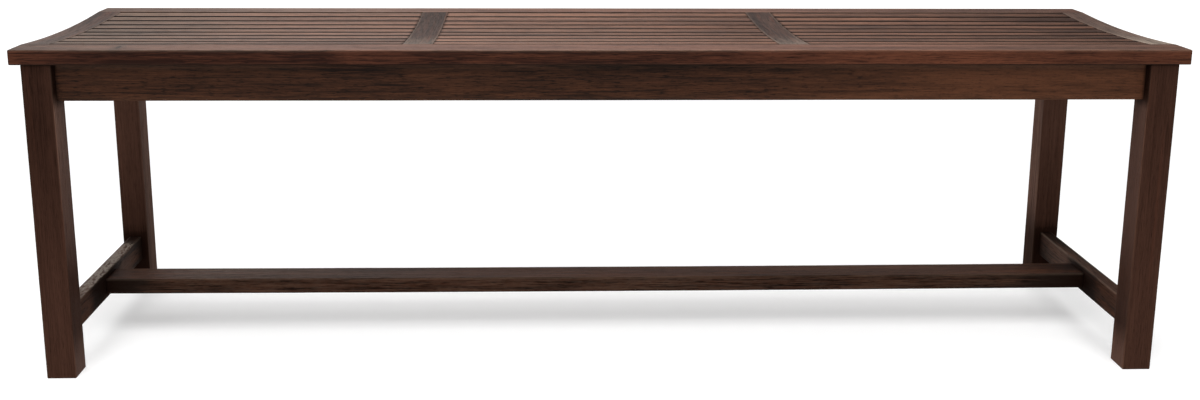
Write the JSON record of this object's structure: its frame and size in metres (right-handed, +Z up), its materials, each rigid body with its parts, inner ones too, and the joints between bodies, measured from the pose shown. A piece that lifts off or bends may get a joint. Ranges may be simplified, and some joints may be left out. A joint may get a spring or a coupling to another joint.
{
  "type": "bench",
  "caption": "Backless wooden bench: a dished, slatted seat on square legs, with aprons under the seat and an H-shaped stretcher near the floor.",
  "frame": {"origin": "centre of the bench's outline on the floor", "axes": "+X along the bench, -Y towards its front, +Z up"},
  "size_m": [1.5, 0.45, 0.436],
  "materials": {
    "long_rail_wood": "oiled red-brown hardwood, dusty and paler on top",
    "short_rail_wood": "oiled grey-brown hardwood, open pores",
    "slat_wood": "oiled pinkish-brown hardwood, open pores",
    "leg_wood": "dark oiled hardwood, low sheen",
    "apron_wood": "dark reddish oiled hardwood, low sheen",
    "stretcher_wood": "dark oiled hardwood, paler streaks on top",
    "hidden_wood": "sawn hardwood, unfinished",
    "screw_steel": "zinc-plated steel"
  },
  "bodies": {
    "root": {"apron_back": "apron_wood", "apron_front": "apron_wood", "apron_left": "apron_wood", "apron_right": "apron_wood", "back_rail": "long_rail_wood", "bearer_left": "hidden_wood", "bearer_right": "hidden_wood", "corner_block_back_left": "hidden_wood", "corner_block_back_right": "hidden_wood", "corner_block_front_left": "hidden_wood", "corner_block_front_right": "hidden_wood", "cross_rail_left": "short_rail_wood", "cross_rail_right": "short_rail_wood", "end_rail_left": "short_rail_wood", "end_rail_right": "short_rail_wood", "front_rail": "long_rail_wood", "leg_back_left": "leg_wood", "leg_back_right": "leg_wood", "leg_front_left": "leg_wood", "leg_front_right": "leg_wood", "seat_screw_back_left": "screw_steel", "seat_screw_back_right": "screw_steel", "seat_screw_front_left": "screw_steel", "seat_screw_front_right": "screw_steel", "slat_left_1": "slat_wood", "slat_left_2": "slat_wood", "slat_left_3": "slat_wood", "slat_left_4": "slat_wood", "slat_left_5": "slat_wood", "slat_left_6": "slat_wood", "slat_left_7": "slat_wood", "slat_left_8": "slat_wood", "slat_left_9": "slat_wood", "slat_middle_1": "slat_wood", "slat_middle_2": "slat_wood", "slat_middle_3": "slat_wood", "slat_middle_4": "slat_wood", "slat_middle_5": "slat_wood", "slat_middle_6": "slat_wood", "slat_middle_7": "slat_wood", "slat_middle_8": "slat_wood", "slat_middle_9": "slat_wood", "slat_right_1": "slat_wood", "slat_right_2": "slat_wood", "slat_right_3": "slat_wood", "slat_right_4": "slat_wood", "slat_right_5": "slat_wood", "slat_right_6": "slat_wood", "slat_right_7": "slat_wood", "slat_right_8": "slat_wood", "slat_right_9": "slat_wood", "stretcher_left": "stretcher_wood", "stretcher_long": "stretcher_wood", "stretcher_right": "stretcher_wood"}
  },
  "joints": []
}
